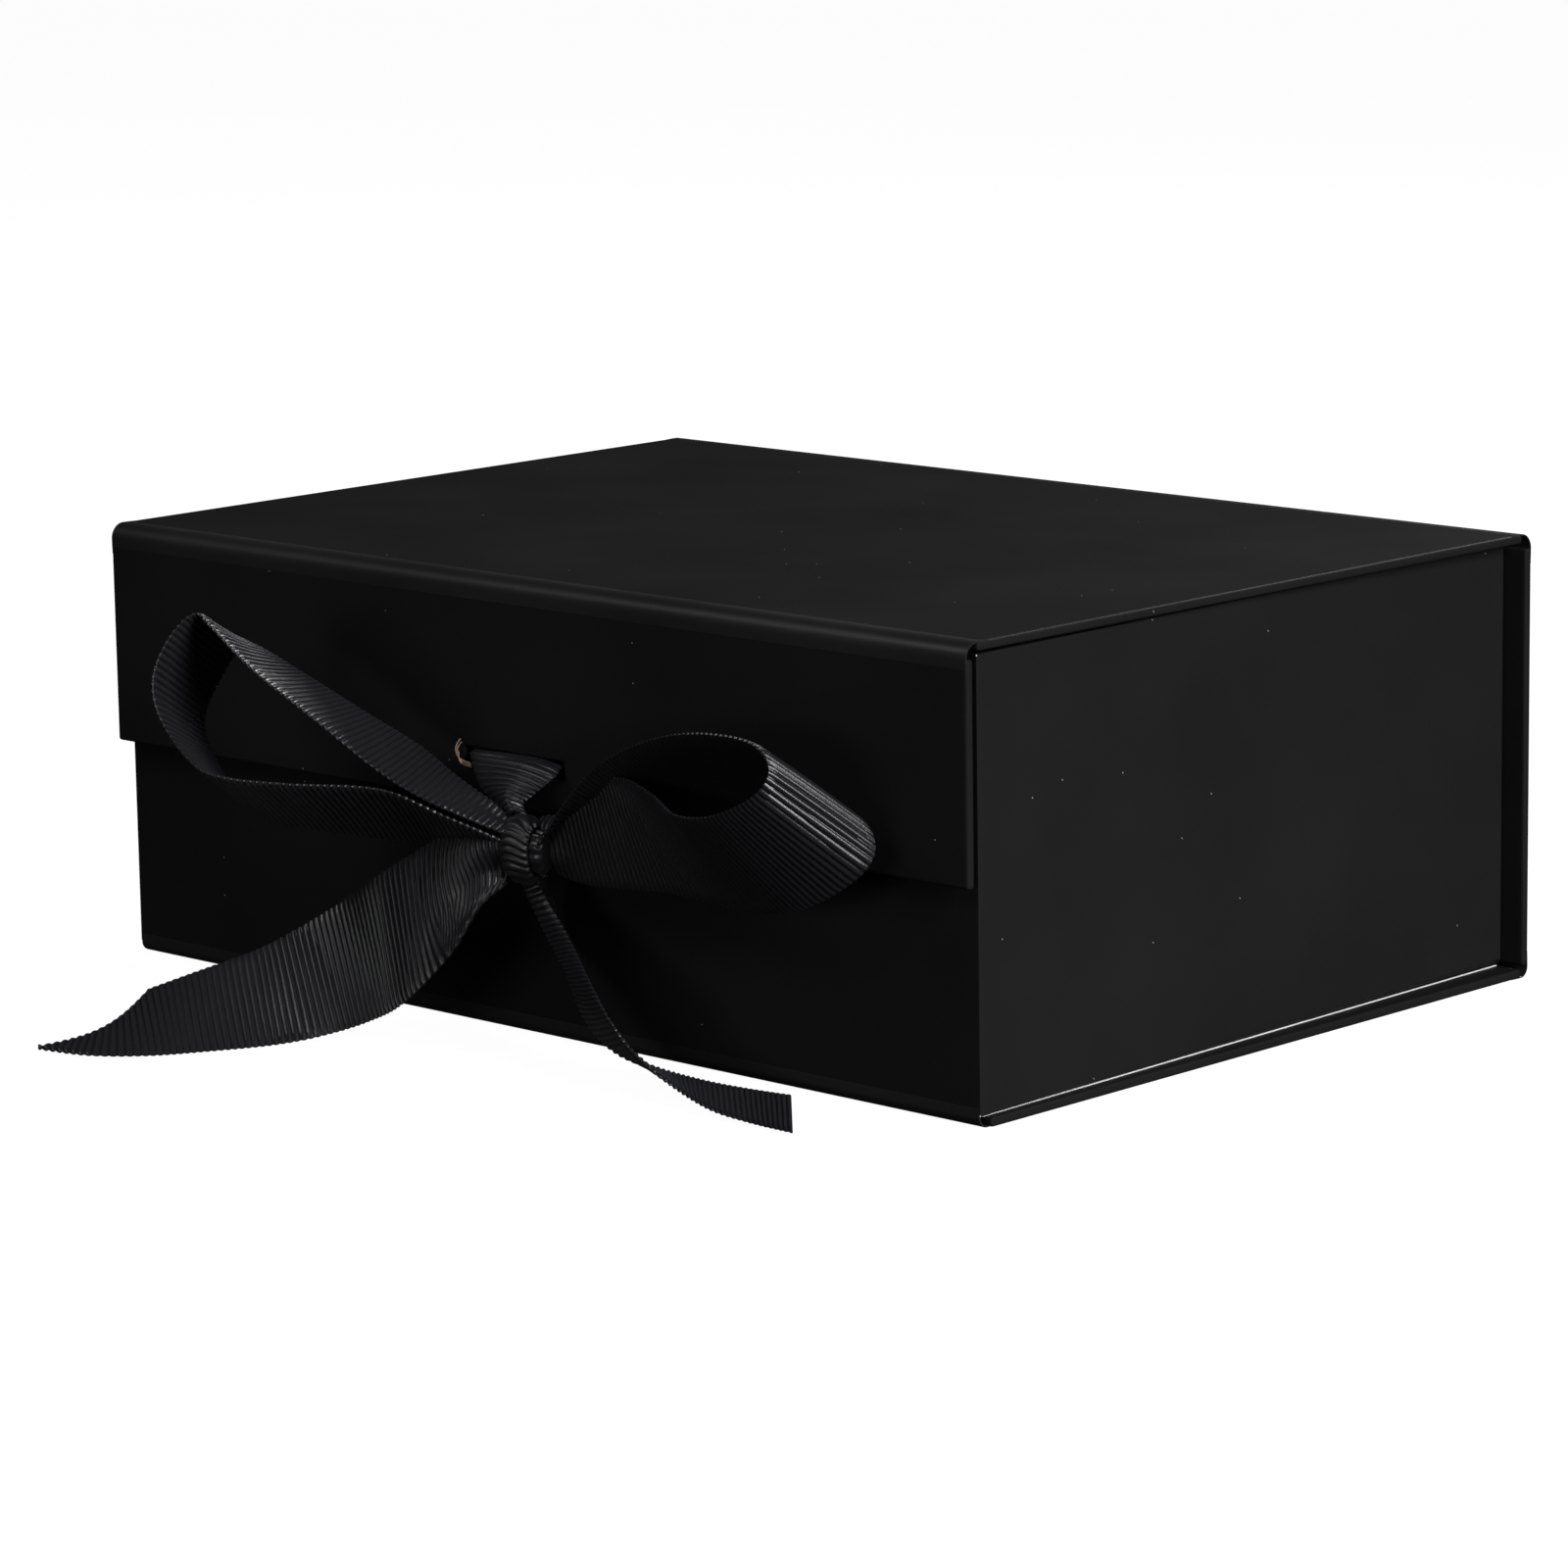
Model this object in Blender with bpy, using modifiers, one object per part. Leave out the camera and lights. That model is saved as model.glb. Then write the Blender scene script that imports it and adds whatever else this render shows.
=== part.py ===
# Magnetic gift box for jewellery, with a ribbon bow tied on its front flap.
# Flat boards wrapped in matt black paper: a tray, a lid on a paper hinge along the back, and a
# flap on a second paper hinge along the front. Metres, +Z up, the front faces -Y, and the origin
# is the middle of the underside.

import math

import bmesh
import bpy
from mathutils import Matrix, Vector

# Driving dimensions of the case.
WIDTH = 0.230           # along X
DEPTH = 0.164           # along Y, flap face to spine
HEIGHT = 0.088          # floor to the top of the lid
BOARD = 0.0018          # greyboard with its wrapping paper
LINING = 0.0003         # paper glued on an inner face
PASTE = 0.0001          # room between a sheet and the board it is glued on
GAP = 0.0003            # room between pieces that touch
EDGE = 0.0004           # rounding of a wrapped board's edge

# The two kinds of paper fold.
HINGE_R = 0.003         # outer radius of the folds that the lid and the flap turn on
FOOT_R = 0.002          # outer radius of the folds along the floor
FOLD_PAPER = 0.0004

# Where the walls stand.
FLAP_BOTTOM = 0.044
FRONT_SETBACK = 0.0035  # the front wall's face behind the flap's face
SIDE_FRONT_X = 0.1142   # outer face of a side wall at its front end
SIDE_BACK_X = 0.1105    # and at its back end, further in
WALL_TOP = HEIGHT - BOARD - PASTE - LINING - GAP

# What holds the walls up and the flap shut.
TAB_WIDTH = 0.022
TAB_BOARD = 0.0012
TAB_MARGIN = 0.006
TAB_INSET = 0.0006
LINING_MARGIN = 0.0048  # a side wall's lining stops this far from its ends
TAPE = 0.0002
TAPE_WIDTH = 0.012
MAGNET_X = 0.080
MAGNET_Z = 0.056
MAGNET_R = 0.005
MAGNET_LENGTH = 0.001
PLATE_SIDE = 0.012
PLATE_THICKNESS = 0.0005

# The ribbon and the slot that it comes out of.
SLOT_WIDTH = 0.027
SLOT_HEIGHT = 0.0037
SLOT_Z = 0.0530
RIBBON_WIDTH = 0.025
RIBBON = 0.0005
KNOT = (0.0135, -0.0920, 0.0398)
KNOT_SIZE = (0.0080, 0.0090, 0.0122)
KNOT_ROUND = 0.0028

# Each run of ribbon as pairs of points in millimetres, one on the edge that faces the front and
# one on the edge that lies further back.
LEADER = [
    ((-12.4, -80.6, 53.0), (12.4, -80.6, 53.4)), ((-12.2, -82.4, 52.9), (12.4, -82.4, 53.2)),
    ((-9.8, -84.0, 52.0), (12.2, -84.2, 52.6)), ((-2.5, -86.8, 49.6), (12.0, -87.0, 50.6)),
    ((7.5, -90.4, 47.2), (14.6, -90.2, 47.8)),
]
LOOP_RIGHT = [
    ((18.4, -92.3, 42.5), (18.6, -88.5, 40.5)), ((20.9, -93.0, 46.5), (22.0, -85.5, 43.0)),
    ((28.5, -95.0, 53.0), (33.0, -84.0, 45.0)), ((42.6, -99.0, 61.4), (47.0, -84.0, 48.0)),
    ((64.2, -103.0, 69.0), (71.3, -85.0, 54.0)), ((83.0, -104.3, 70.2), (91.4, -86.5, 55.1)),
    ((89.1, -105.2, 66.1), (97.4, -87.2, 51.1)), ((87.2, -106.9, 61.4), (96.2, -89.9, 45.2)),
    ((77.0, -106.7, 56.4), (84.6, -91.1, 38.4)), ((65.8, -105.0, 54.8), (72.2, -90.4, 35.5)),
    ((55.5, -100.5, 56.5), (61.4, -90.7, 35.9)), ((42.2, -95.8, 56.6), (46.4, -88.6, 35.2)),
    ((29.0, -90.8, 48.6), (27.8, -85.0, 32.0)), ((21.5, -90.2, 41.6), (20.8, -86.5, 32.8)),
    ((18.8, -90.6, 38.2), (18.8, -87.6, 34.0)),
]
LOOP_LEFT = [
    ((8.8, -96.0, 43.6), (8.6, -91.0, 45.0)), ((1.7, -104.5, 49.0), (-3.3, -92.5, 51.0)),
    ((-6.1, -110.5, 55.0), (-15.8, -91.6, 56.0)), ((-16.4, -116.5, 64.2), (-28.0, -95.1, 62.0)),
    ((-28.3, -121.3, 73.1), (-39.5, -99.4, 68.4)), ((-38.0, -122.9, 80.5), (-48.4, -102.0, 72.5)),
    ((-41.6, -123.8, 82.6), (-51.6, -103.8, 72.6)), ((-44.8, -127.2, 78.3), (-53.8, -107.2, 67.0)),
    ((-46.1, -130.5, 70.9), (-55.2, -110.4, 59.9)), ((-43.4, -131.3, 63.5), (-53.5, -110.7, 53.6)),
    ((-37.4, -129.1, 55.5), (-47.7, -109.1, 44.6)), ((-32.1, -126.1, 52.9), (-41.7, -106.8, 40.7)),
    ((-22.1, -119.6, 51.9), (-30.9, -100.5, 38.8)), ((-7.2, -109.6, 51.2), (-15.2, -93.5, 37.8)),
    ((2.3, -102.5, 46.4), (-2.9, -93.5, 38.6)), ((8.8, -95.7, 40.0), (8.6, -91.5, 38.2)),
]
TAIL_LEFT = [
    ((9.3, -95.5, 32.4), (8.8, -93.2, 36.4)), ((6.5, -99.0, 27.0), (1.5, -94.8, 36.2)),
    ((1.3, -101.3, 18.0), (-7.0, -96.8, 35.8)), ((-9.0, -103.7, 9.0), (-19.6, -100.0, 31.0)),
    ((-17.7, -104.9, 4.5), (-31.0, -99.0, 24.5)), ((-25.8, -109.8, 1.4), (-41.6, -101.4, 18.0)),
    ((-29.3, -118.6, 0.8), (-46.6, -107.2, 14.4)), ((-35.2, -130.4, 0.8), (-53.7, -117.2, 10.6)),
    ((-41.0, -139.6, 0.8), (-60.8, -125.6, 7.3)), ((-50.6, -144.6, 0.8), (-61.2, -134.6, 4.6)),
    ((-58.8, -148.6, 0.8), (-61.8, -144.8, 1.8)),
]
TAIL_RIGHT = [
    ((16.0, -91.0, 32.4), (12.5, -88.0, 31.6)), ((18.5, -91.0, 29.5), (8.5, -84.0, 27.6)),
    ((25.8, -93.5, 25.0), (9.5, -83.0, 20.5)), ((39.9, -101.5, 19.0), (19.6, -88.5, 14.3)),
    ((47.6, -104.7, 14.5), (27.5, -91.0, 8.3)), ((52.6, -104.1, 9.5), (33.3, -89.3, 3.6)),
    ((60.1, -103.0, 5.0), (41.8, -86.9, 1.3)), ((71.7, -104.2, 2.0), (54.1, -87.0, 0.9)),
    ((81.6, -103.7, 0.9), (64.0, -86.4, 0.9)), ((92.3, -103.8, 0.8), (75.3, -86.3, 1.4)),
]
STEPS_PER_SPAN = 4
STEPS_ACROSS = 4

# Planes that several pieces share.
HALF_W = WIDTH / 2
FRONT_Y = -DEPTH / 2
BACK_Y = DEPTH / 2
WALL_Y = FRONT_Y + FRONT_SETBACK
WALL_IN_Y = WALL_Y + BOARD
SPINE_IN_Y = BACK_Y - BOARD
FLOOR_Z = BOARD + GAP
HINGE_Y = DEPTH / 2 - HINGE_R
HINGE_Z = HEIGHT - HINGE_R


for old in list(bpy.data.objects):
    bpy.data.objects.remove(old, do_unlink=True)

box_parts = bpy.data.collections.new("jewelry_gift_box")
cutters = bpy.data.collections.new("cutters")
bpy.context.scene.collection.children.link(box_parts)
bpy.context.scene.collection.children.link(cutters)


def material(name, color, roughness, metallic=0.0):
    made = bpy.data.materials.new(name)
    made.use_nodes = True
    shader = made.node_tree.nodes["Principled BSDF"]
    shader.inputs["Base Color"].default_value = (*color, 1.0)
    shader.inputs["Roughness"].default_value = roughness
    shader.inputs["Metallic"].default_value = metallic
    return made


WRAP = material("matt_black_paper", (0.020, 0.020, 0.021), 0.62)
INNER = material("inner_black_paper", (0.030, 0.030, 0.031), 0.80)
RIBBED = material("black_grosgrain", (0.030, 0.031, 0.038), 0.75)
MAGNET = material("magnet_nickel", (0.62, 0.60, 0.56), 0.25, 1.0)
STEEL = material("plate_steel", (0.45, 0.45, 0.46), 0.45, 1.0)
ADHESIVE = material("double_sided_tape", (0.80, 0.79, 0.74), 0.50)


def keep(obj, name, look, parent=None, folder=box_parts):
    """Name the object, dress it, file it in its collection and hang it on its axis."""
    obj.name = name
    obj.data.name = name
    if look is not None:
        obj.data.materials.clear()
        obj.data.materials.append(look)
    for holder in list(obj.users_collection):
        holder.objects.unlink(obj)
    folder.objects.link(obj)
    if parent is not None:
        bpy.context.view_layer.update()
        obj.parent = parent
        obj.matrix_parent_inverse = parent.matrix_world.inverted()
    return obj


def bevel(obj, width, segments=2):
    rounding = obj.modifiers.new("rounded_edges", "BEVEL")
    rounding.width = width
    rounding.segments = segments
    rounding.limit_method = "ANGLE"


def box(name, low, high, look, parent=None, rounding=0.0, turn=0.0, folder=box_parts):
    """A cuboid between two corners, turned about its own upright axis."""
    low = Vector(low)
    high = Vector(high)
    bpy.ops.mesh.primitive_cube_add(size=1.0, location=(low + high) / 2)
    obj = bpy.context.object
    obj.scale = high - low
    bpy.ops.object.transform_apply(location=False, rotation=False, scale=True)
    obj.rotation_euler.z = turn
    if rounding:
        bevel(obj, rounding)
    return keep(obj, name, look, parent, folder)


def disc(name, center, radius, length, look, parent=None, folder=box_parts):
    """A short cylinder that lies along Y."""
    bpy.ops.mesh.primitive_cylinder_add(vertices=32, radius=radius, depth=length, location=center,
                                        rotation=(math.pi / 2, 0.0, 0.0))
    return keep(bpy.context.object, name, look, parent, folder)


def cut(obj, cutter):
    cutter.hide_render = True
    cutter.display_type = "WIRE"
    hole = obj.modifiers.new("cut_" + cutter.name, "BOOLEAN")
    hole.operation = "DIFFERENCE"
    hole.object = cutter


def fold_strip(name, center_y, center_z, radius, first_angle, look, parent=None):
    """A quarter round of paper between two boards, turned about a line along X."""
    opening = GAP / radius
    half = HALF_W - EDGE
    mesh = bpy.data.meshes.new(name)
    shape = bmesh.new()
    ends = [shape.verts.new((side * half, radius - FOLD_PAPER / 2, 0.0)) for side in (-1, 1)]
    shape.edges.new(ends)
    shape.to_mesh(mesh)
    shape.free()
    obj = bpy.data.objects.new(name, mesh)
    obj.location = (0.0, center_y, center_z)
    obj.rotation_euler.x = first_angle + opening
    turning = obj.modifiers.new("quarter_turn", "SCREW")
    turning.axis = "X"
    turning.angle = math.pi / 2 - 2 * opening
    turning.steps = 8
    turning.render_steps = 8
    turning.merge_threshold = 0.00001
    paper = obj.modifiers.new("paper", "SOLIDIFY")
    paper.thickness = FOLD_PAPER
    paper.offset = 0.0
    box_parts.objects.link(obj)
    return keep(obj, name, look, parent)


def smooth_point(points, span, t):
    """A point on the Catmull-Rom curve through the points, on one span."""
    last = len(points) - 1
    a, b, c, d = (Vector(points[min(max(span + k, 0), last)]) for k in (-1, 0, 1, 2))
    return 0.5 * (2 * b + (c - a) * t + (2 * a - 5 * b + 4 * c - d) * t * t
                  + (3 * b - a - 3 * c + d) * t * t * t)


def ribbon(name, route, look, parent):
    """A band between two edge curves, given the ribbon's thickness."""
    near = [pair[0] for pair in route]
    far = [pair[1] for pair in route]
    stations = [(span, step / STEPS_PER_SPAN)
                for span in range(len(route) - 1) for step in range(STEPS_PER_SPAN)]
    stations.append((len(route) - 2, 1.0))
    shape = bmesh.new()
    rows = []
    for span, t in stations:
        a = smooth_point(near, span, t) / 1000
        b = smooth_point(far, span, t) / 1000
        rows.append([shape.verts.new(a.lerp(b, k / STEPS_ACROSS)) for k in range(STEPS_ACROSS + 1)])
    for first, second in zip(rows, rows[1:]):
        for k in range(STEPS_ACROSS):
            shape.faces.new((first[k], first[k + 1], second[k + 1], second[k]))
    mesh = bpy.data.meshes.new(name)
    shape.to_mesh(mesh)
    shape.free()
    obj = bpy.data.objects.new(name, mesh)
    weave = obj.modifiers.new("weave", "SOLIDIFY")
    weave.thickness = RIBBON
    weave.offset = 0.0
    box_parts.objects.link(obj)
    return keep(obj, name, look, parent)


def axis_empty(name, y, z, parent=None):
    empty = bpy.data.objects.new(name, None)
    empty.location = (0.0, y, z)
    box_parts.objects.link(empty)
    if parent is not None:
        bpy.context.view_layer.update()
        empty.parent = parent
        empty.matrix_parent_inverse = parent.matrix_world.inverted()
    return empty


# The middle of each fold's arc is the line that the fold turns on.
ARC_MIDDLE = HINGE_R * math.cos(math.pi / 4)
lid_axis = axis_empty("lid_axis", HINGE_Y + ARC_MIDDLE, HINGE_Z + ARC_MIDDLE)
flap_axis = axis_empty("flap_axis", -HINGE_Y - ARC_MIDDLE, HINGE_Z + ARC_MIDDLE, lid_axis)


def build_tray():
    """The base, the spine, the front wall and the paper folds that join them."""
    foot = FOOT_R + GAP
    box("base_board", (-HALF_W, WALL_Y + foot, 0.0), (HALF_W, BACK_Y - foot, BOARD), WRAP,
        rounding=EDGE)
    box("spine_board", (-HALF_W, SPINE_IN_Y, foot), (HALF_W, BACK_Y, HINGE_Z), WRAP, rounding=EDGE)
    front = box("front_board", (-SIDE_FRONT_X, WALL_Y, foot), (SIDE_FRONT_X, WALL_IN_Y, WALL_TOP),
                WRAP, rounding=EDGE)
    for side, word in ((-1, "left"), (1, "right")):
        x = side * MAGNET_X
        plate_y = WALL_IN_Y - 2 * PASTE - PLATE_THICKNESS
        half = PLATE_SIDE / 2
        pocket = box("pocket_plate_" + word,
                     (x - half - GAP, plate_y - PASTE, MAGNET_Z - half - GAP),
                     (x + half + GAP, WALL_IN_Y + BOARD, MAGNET_Z + half + GAP), None, folder=cutters)
        cut(front, pocket)
        box("steel_plate_" + word, (x - half, plate_y, MAGNET_Z - half),
            (x + half, plate_y + PLATE_THICKNESS, MAGNET_Z + half), STEEL)
    fold_strip("fold_base_spine", BACK_Y - FOOT_R, FOOT_R, FOOT_R, -math.pi / 2, WRAP)
    fold_strip("fold_base_front", WALL_Y + FOOT_R, FOOT_R, FOOT_R, math.pi, WRAP)


def build_side_walls():
    """Two loose walls, each set in further at the back, with the tabs and tape that hold them."""
    front_y = WALL_IN_Y + GAP
    back_y = SPINE_IN_Y - GAP
    skew = math.atan((SIDE_FRONT_X - SIDE_BACK_X) / (back_y - front_y))
    middle_x = (SIDE_FRONT_X + SIDE_BACK_X) / 2
    for side, word in ((-1, "left"), (1, "right")):
        outer = side * middle_x
        inner = outer - side * BOARD
        slip = GAP * math.sin(skew)
        box("side_board_" + word, (min(outer, inner), front_y + slip, FLOOR_Z),
            (max(outer, inner), back_y - slip, WALL_TOP), WRAP, rounding=EDGE, turn=side * skew)
        face = inner - side * PASTE
        box("side_lining_" + word,
            (min(face, face - side * LINING), front_y + LINING_MARGIN, FLOOR_Z + TAB_MARGIN / 2),
            (max(face, face - side * LINING), back_y - LINING_MARGIN, WALL_TOP - GAP),
            INNER, turn=side * skew)
        for wall, corner_x, wall_y, inward in (("front", SIDE_FRONT_X, WALL_IN_Y, 1),
                                               ("back", SIDE_BACK_X, SPINE_IN_Y, -1)):
            reach = side * (corner_x - BOARD - TAB_INSET)
            far = reach - side * TAB_WIDTH
            tape_y = wall_y + inward * (2 * PASTE + LINING)
            tab_y = tape_y + inward * (PASTE + TAPE)
            box("tab_" + wall + "_" + word,
                (min(reach, far), min(tab_y, tab_y + inward * TAB_BOARD), FLOOR_Z + TAB_MARGIN),
                (max(reach, far), max(tab_y, tab_y + inward * TAB_BOARD), WALL_TOP - TAB_MARGIN),
                WRAP, rounding=EDGE / 2)
            tape_x = (reach + far) / 2
            box("tape_" + wall + "_" + word,
                (tape_x - TAPE_WIDTH / 2, min(tape_y, tape_y + inward * TAPE), FLOOR_Z + 2 * TAB_MARGIN),
                (tape_x + TAPE_WIDTH / 2, max(tape_y, tape_y + inward * TAPE),
                 WALL_TOP - 2 * TAB_MARGIN), ADHESIVE)


def build_linings():
    """The paper glued over the inner faces of the base, the front wall and the spine."""
    front_x = SIDE_FRONT_X - BOARD - 2 * GAP
    back_x = SIDE_BACK_X - BOARD - 2 * GAP
    near_y = WALL_IN_Y + PASTE
    far_y = SPINE_IN_Y - PASTE
    box("base_lining", (-back_x + GAP, near_y + 8 * GAP, BOARD + PASTE),
        (back_x - GAP, far_y - 8 * GAP, BOARD + PASTE + LINING), INNER)
    box("front_lining", (-front_x, near_y, FLOOR_Z + 2 * GAP),
        (front_x, near_y + LINING, WALL_TOP - 2 * GAP), INNER)
    box("spine_lining", (-back_x, far_y - LINING, FLOOR_Z + 2 * GAP),
        (back_x, far_y, WALL_TOP - 2 * GAP), INNER)


def build_lid():
    """The lid's board and lining, and the two folds along its long edges."""
    box("lid_board", (-HALF_W, -HINGE_Y, HEIGHT - BOARD), (HALF_W, HINGE_Y, HEIGHT), WRAP, lid_axis,
        rounding=EDGE)
    under = HEIGHT - BOARD - PASTE
    box("lid_lining", (-HALF_W + HINGE_R, -HINGE_Y + GAP, under - LINING),
        (HALF_W - HINGE_R, HINGE_Y - GAP, under), INNER, lid_axis)
    fold_strip("fold_lid_spine", HINGE_Y, HINGE_Z, HINGE_R, 0.0, WRAP, lid_axis)
    fold_strip("fold_lid_flap", -HINGE_Y, HINGE_Z, HINGE_R, math.pi / 2, WRAP, lid_axis)


def build_flap():
    """The flap's board with its ribbon slot and magnets, and the lining behind them."""
    back = FRONT_Y + BOARD
    board = box("flap_board", (-HALF_W, FRONT_Y, FLAP_BOTTOM), (HALF_W, back, HINGE_Z), WRAP, flap_axis,
                rounding=EDGE)
    slot = box("slot_cutter", (-SLOT_WIDTH / 2, FRONT_Y - BOARD, SLOT_Z - SLOT_HEIGHT / 2),
               (SLOT_WIDTH / 2, back + BOARD, SLOT_Z + SLOT_HEIGHT / 2), None, folder=cutters)
    cut(board, slot)
    for side, word in ((-1, "left"), (1, "right")):
        middle = back - 2 * PASTE - MAGNET_LENGTH / 2
        pocket_depth = MAGNET_LENGTH + 3 * PASTE
        pocket = disc("pocket_magnet_" + word,
                      (side * MAGNET_X, back - pocket_depth + BOARD, MAGNET_Z),
                      MAGNET_R + GAP, 2 * BOARD, None, folder=cutters)
        cut(board, pocket)
        disc("magnet_" + word, (side * MAGNET_X, middle, MAGNET_Z), MAGNET_R, MAGNET_LENGTH, MAGNET,
             flap_axis)
    anchor_y = back + PASTE
    slot_top = SLOT_Z + SLOT_HEIGHT / 2
    box("ribbon_anchor", (-RIBBON_WIDTH / 2, anchor_y, slot_top + 4 * GAP),
        (RIBBON_WIDTH / 2, anchor_y + RIBBON, slot_top + RIBBON_WIDTH), RIBBED, flap_axis)
    lining_y = anchor_y + RIBBON + PASTE
    box("flap_lining", (-HALF_W + HINGE_R, lining_y, FLAP_BOTTOM + HINGE_R),
        (HALF_W - HINGE_R, lining_y + LINING, HINGE_Z - GAP), INNER, flap_axis)


def build_bow():
    """The ribbon that comes out of the slot, tied into a bow: knot, two loops and two tails."""
    bpy.ops.mesh.primitive_cube_add(size=1.0, location=KNOT)
    knot = bpy.context.object
    knot.scale = KNOT_SIZE
    bpy.ops.object.transform_apply(location=False, rotation=False, scale=True)
    bevel(knot, KNOT_ROUND, 3)
    keep(knot, "bow_knot", RIBBED, flap_axis)
    for name, route in (("ribbon_leader", LEADER), ("bow_loop_left", LOOP_LEFT),
                        ("bow_loop_right", LOOP_RIGHT), ("bow_tail_left", TAIL_LEFT),
                        ("bow_tail_right", TAIL_RIGHT)):
        ribbon(name, route, RIBBED, flap_axis)


build_tray()
build_side_walls()
build_linings()
build_lid()
build_flap()
build_bow()
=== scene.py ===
import bmesh
import bpy
import math
import numpy as np
from mathutils import Matrix, Vector


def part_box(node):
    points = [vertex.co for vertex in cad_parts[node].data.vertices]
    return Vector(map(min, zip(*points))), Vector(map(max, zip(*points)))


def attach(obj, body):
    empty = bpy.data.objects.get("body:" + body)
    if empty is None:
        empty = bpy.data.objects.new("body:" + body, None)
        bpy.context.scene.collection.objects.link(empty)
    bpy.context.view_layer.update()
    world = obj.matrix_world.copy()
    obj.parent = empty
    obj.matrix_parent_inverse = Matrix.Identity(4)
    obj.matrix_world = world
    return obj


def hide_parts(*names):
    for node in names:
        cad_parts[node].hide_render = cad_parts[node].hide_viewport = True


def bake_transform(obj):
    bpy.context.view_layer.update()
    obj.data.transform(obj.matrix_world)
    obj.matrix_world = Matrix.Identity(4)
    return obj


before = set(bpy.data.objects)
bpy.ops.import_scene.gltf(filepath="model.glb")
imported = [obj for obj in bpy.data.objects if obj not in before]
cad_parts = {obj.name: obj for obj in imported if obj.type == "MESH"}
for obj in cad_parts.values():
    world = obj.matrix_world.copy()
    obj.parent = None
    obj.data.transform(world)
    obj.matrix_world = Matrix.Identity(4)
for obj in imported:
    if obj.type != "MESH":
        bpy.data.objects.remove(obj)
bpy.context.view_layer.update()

# The camera stands low, to the right of the front corner, with a long lens.
camera_data = bpy.data.cameras.new("camera")
camera_data.lens = 138.4
camera_data.sensor_width = 36.0
camera_data.clip_end = 50.0
camera = bpy.data.objects.new("camera", camera_data)
bpy.context.scene.collection.objects.link(camera)
camera.matrix_world = (Matrix.Translation((0.8085, -0.8526, 0.2641))
                       @ Matrix.Rotation(math.radians(43.76), 4, "Z")
                       @ Matrix.Rotation(math.radians(90.0 - 10.95), 4, "X")
                       @ Matrix.Rotation(math.radians(-0.87), 4, "Z"))
bpy.context.scene.camera = camera
bpy.context.scene.view_settings.view_transform = "Standard"

# A white sweep under the box, lit by five soft lamps: high behind, high on the left, low in front,
# on the right, and a low strip far behind. The room is dim, so that the black paper stays black.
bpy.ops.object.select_all(action="DESELECT")
bpy.ops.mesh.primitive_plane_add(size=14.0, location=(0.0, 0.0, -0.0002))
floor = bpy.context.object
floor.name = "floor"
floor_paint = bpy.data.materials.new("white_sweep")
floor_paint.use_nodes = True
floor_shader = floor_paint.node_tree.nodes["Principled BSDF"]
floor_shader.inputs["Base Color"].default_value = (0.12, 0.12, 0.12, 1.0)
floor_shader.inputs["Roughness"].default_value = 0.9
floor_shader.inputs["Specular IOR Level"].default_value = 0.0
floor_shader.inputs["Emission Color"].default_value = (1.0, 1.0, 1.0, 1.0)
floor_shader.inputs["Emission Strength"].default_value = 0.97
floor.data.materials.append(floor_paint)
floor.visible_diffuse = False
floor.visible_glossy = False

room = bpy.data.worlds.new("room")
bpy.context.scene.world = room
room.use_nodes = True
room_nodes = room.node_tree.nodes
room_links = room.node_tree.links
dim = room_nodes["Background"]
dim.inputs["Color"].default_value = (1.0, 1.0, 1.0, 1.0)
dim.inputs["Strength"].default_value = 0.015
white = room_nodes.new("ShaderNodeBackground")
white.inputs["Color"].default_value = (1.0, 1.0, 1.0, 1.0)
white.inputs["Strength"].default_value = 1.0
seen = room_nodes.new("ShaderNodeLightPath")
either = room_nodes.new("ShaderNodeMixShader")
room_links.new(seen.outputs["Is Camera Ray"], either.inputs["Fac"])
room_links.new(dim.outputs["Background"], either.inputs[1])
room_links.new(white.outputs["Background"], either.inputs[2])
room_links.new(either.outputs["Shader"], room_nodes["World Output"].inputs["Surface"])


def softbox(name, place, target, size, watts):
    lamp = bpy.data.lights.new(name, "AREA")
    lamp.shape = "RECTANGLE"
    lamp.size = size[0]
    lamp.size_y = size[1]
    lamp.energy = watts
    holder = bpy.data.objects.new(name, lamp)
    bpy.context.scene.collection.objects.link(holder)
    holder.location = place
    aim = Vector(target) - Vector(place)
    holder.rotation_euler = aim.to_track_quat("-Z", "Y").to_euler()
    holder.visible_camera = False


BOX_MIDDLE = (0.0, 0.0, 0.05)
softbox("light_behind", (-0.10, 1.12, 0.85), BOX_MIDDLE, (0.5, 0.5), 11.0)
softbox("light_left_front", (-0.7, -1.1, 1.25), BOX_MIDDLE, (0.6, 0.6), 4.6)
softbox("light_low_front", (0.0, -1.7, 0.16), BOX_MIDDLE, (0.9, 0.25), 3.0)
softbox("light_right", (1.4, -0.15, 0.6), BOX_MIDDLE, (0.7, 0.8), 27.0)
softbox("light_low_behind", (-1.5, 1.55, 0.10), (-0.1, 0.08, 0.088), (1.6, 0.12), 0.06)

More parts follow.
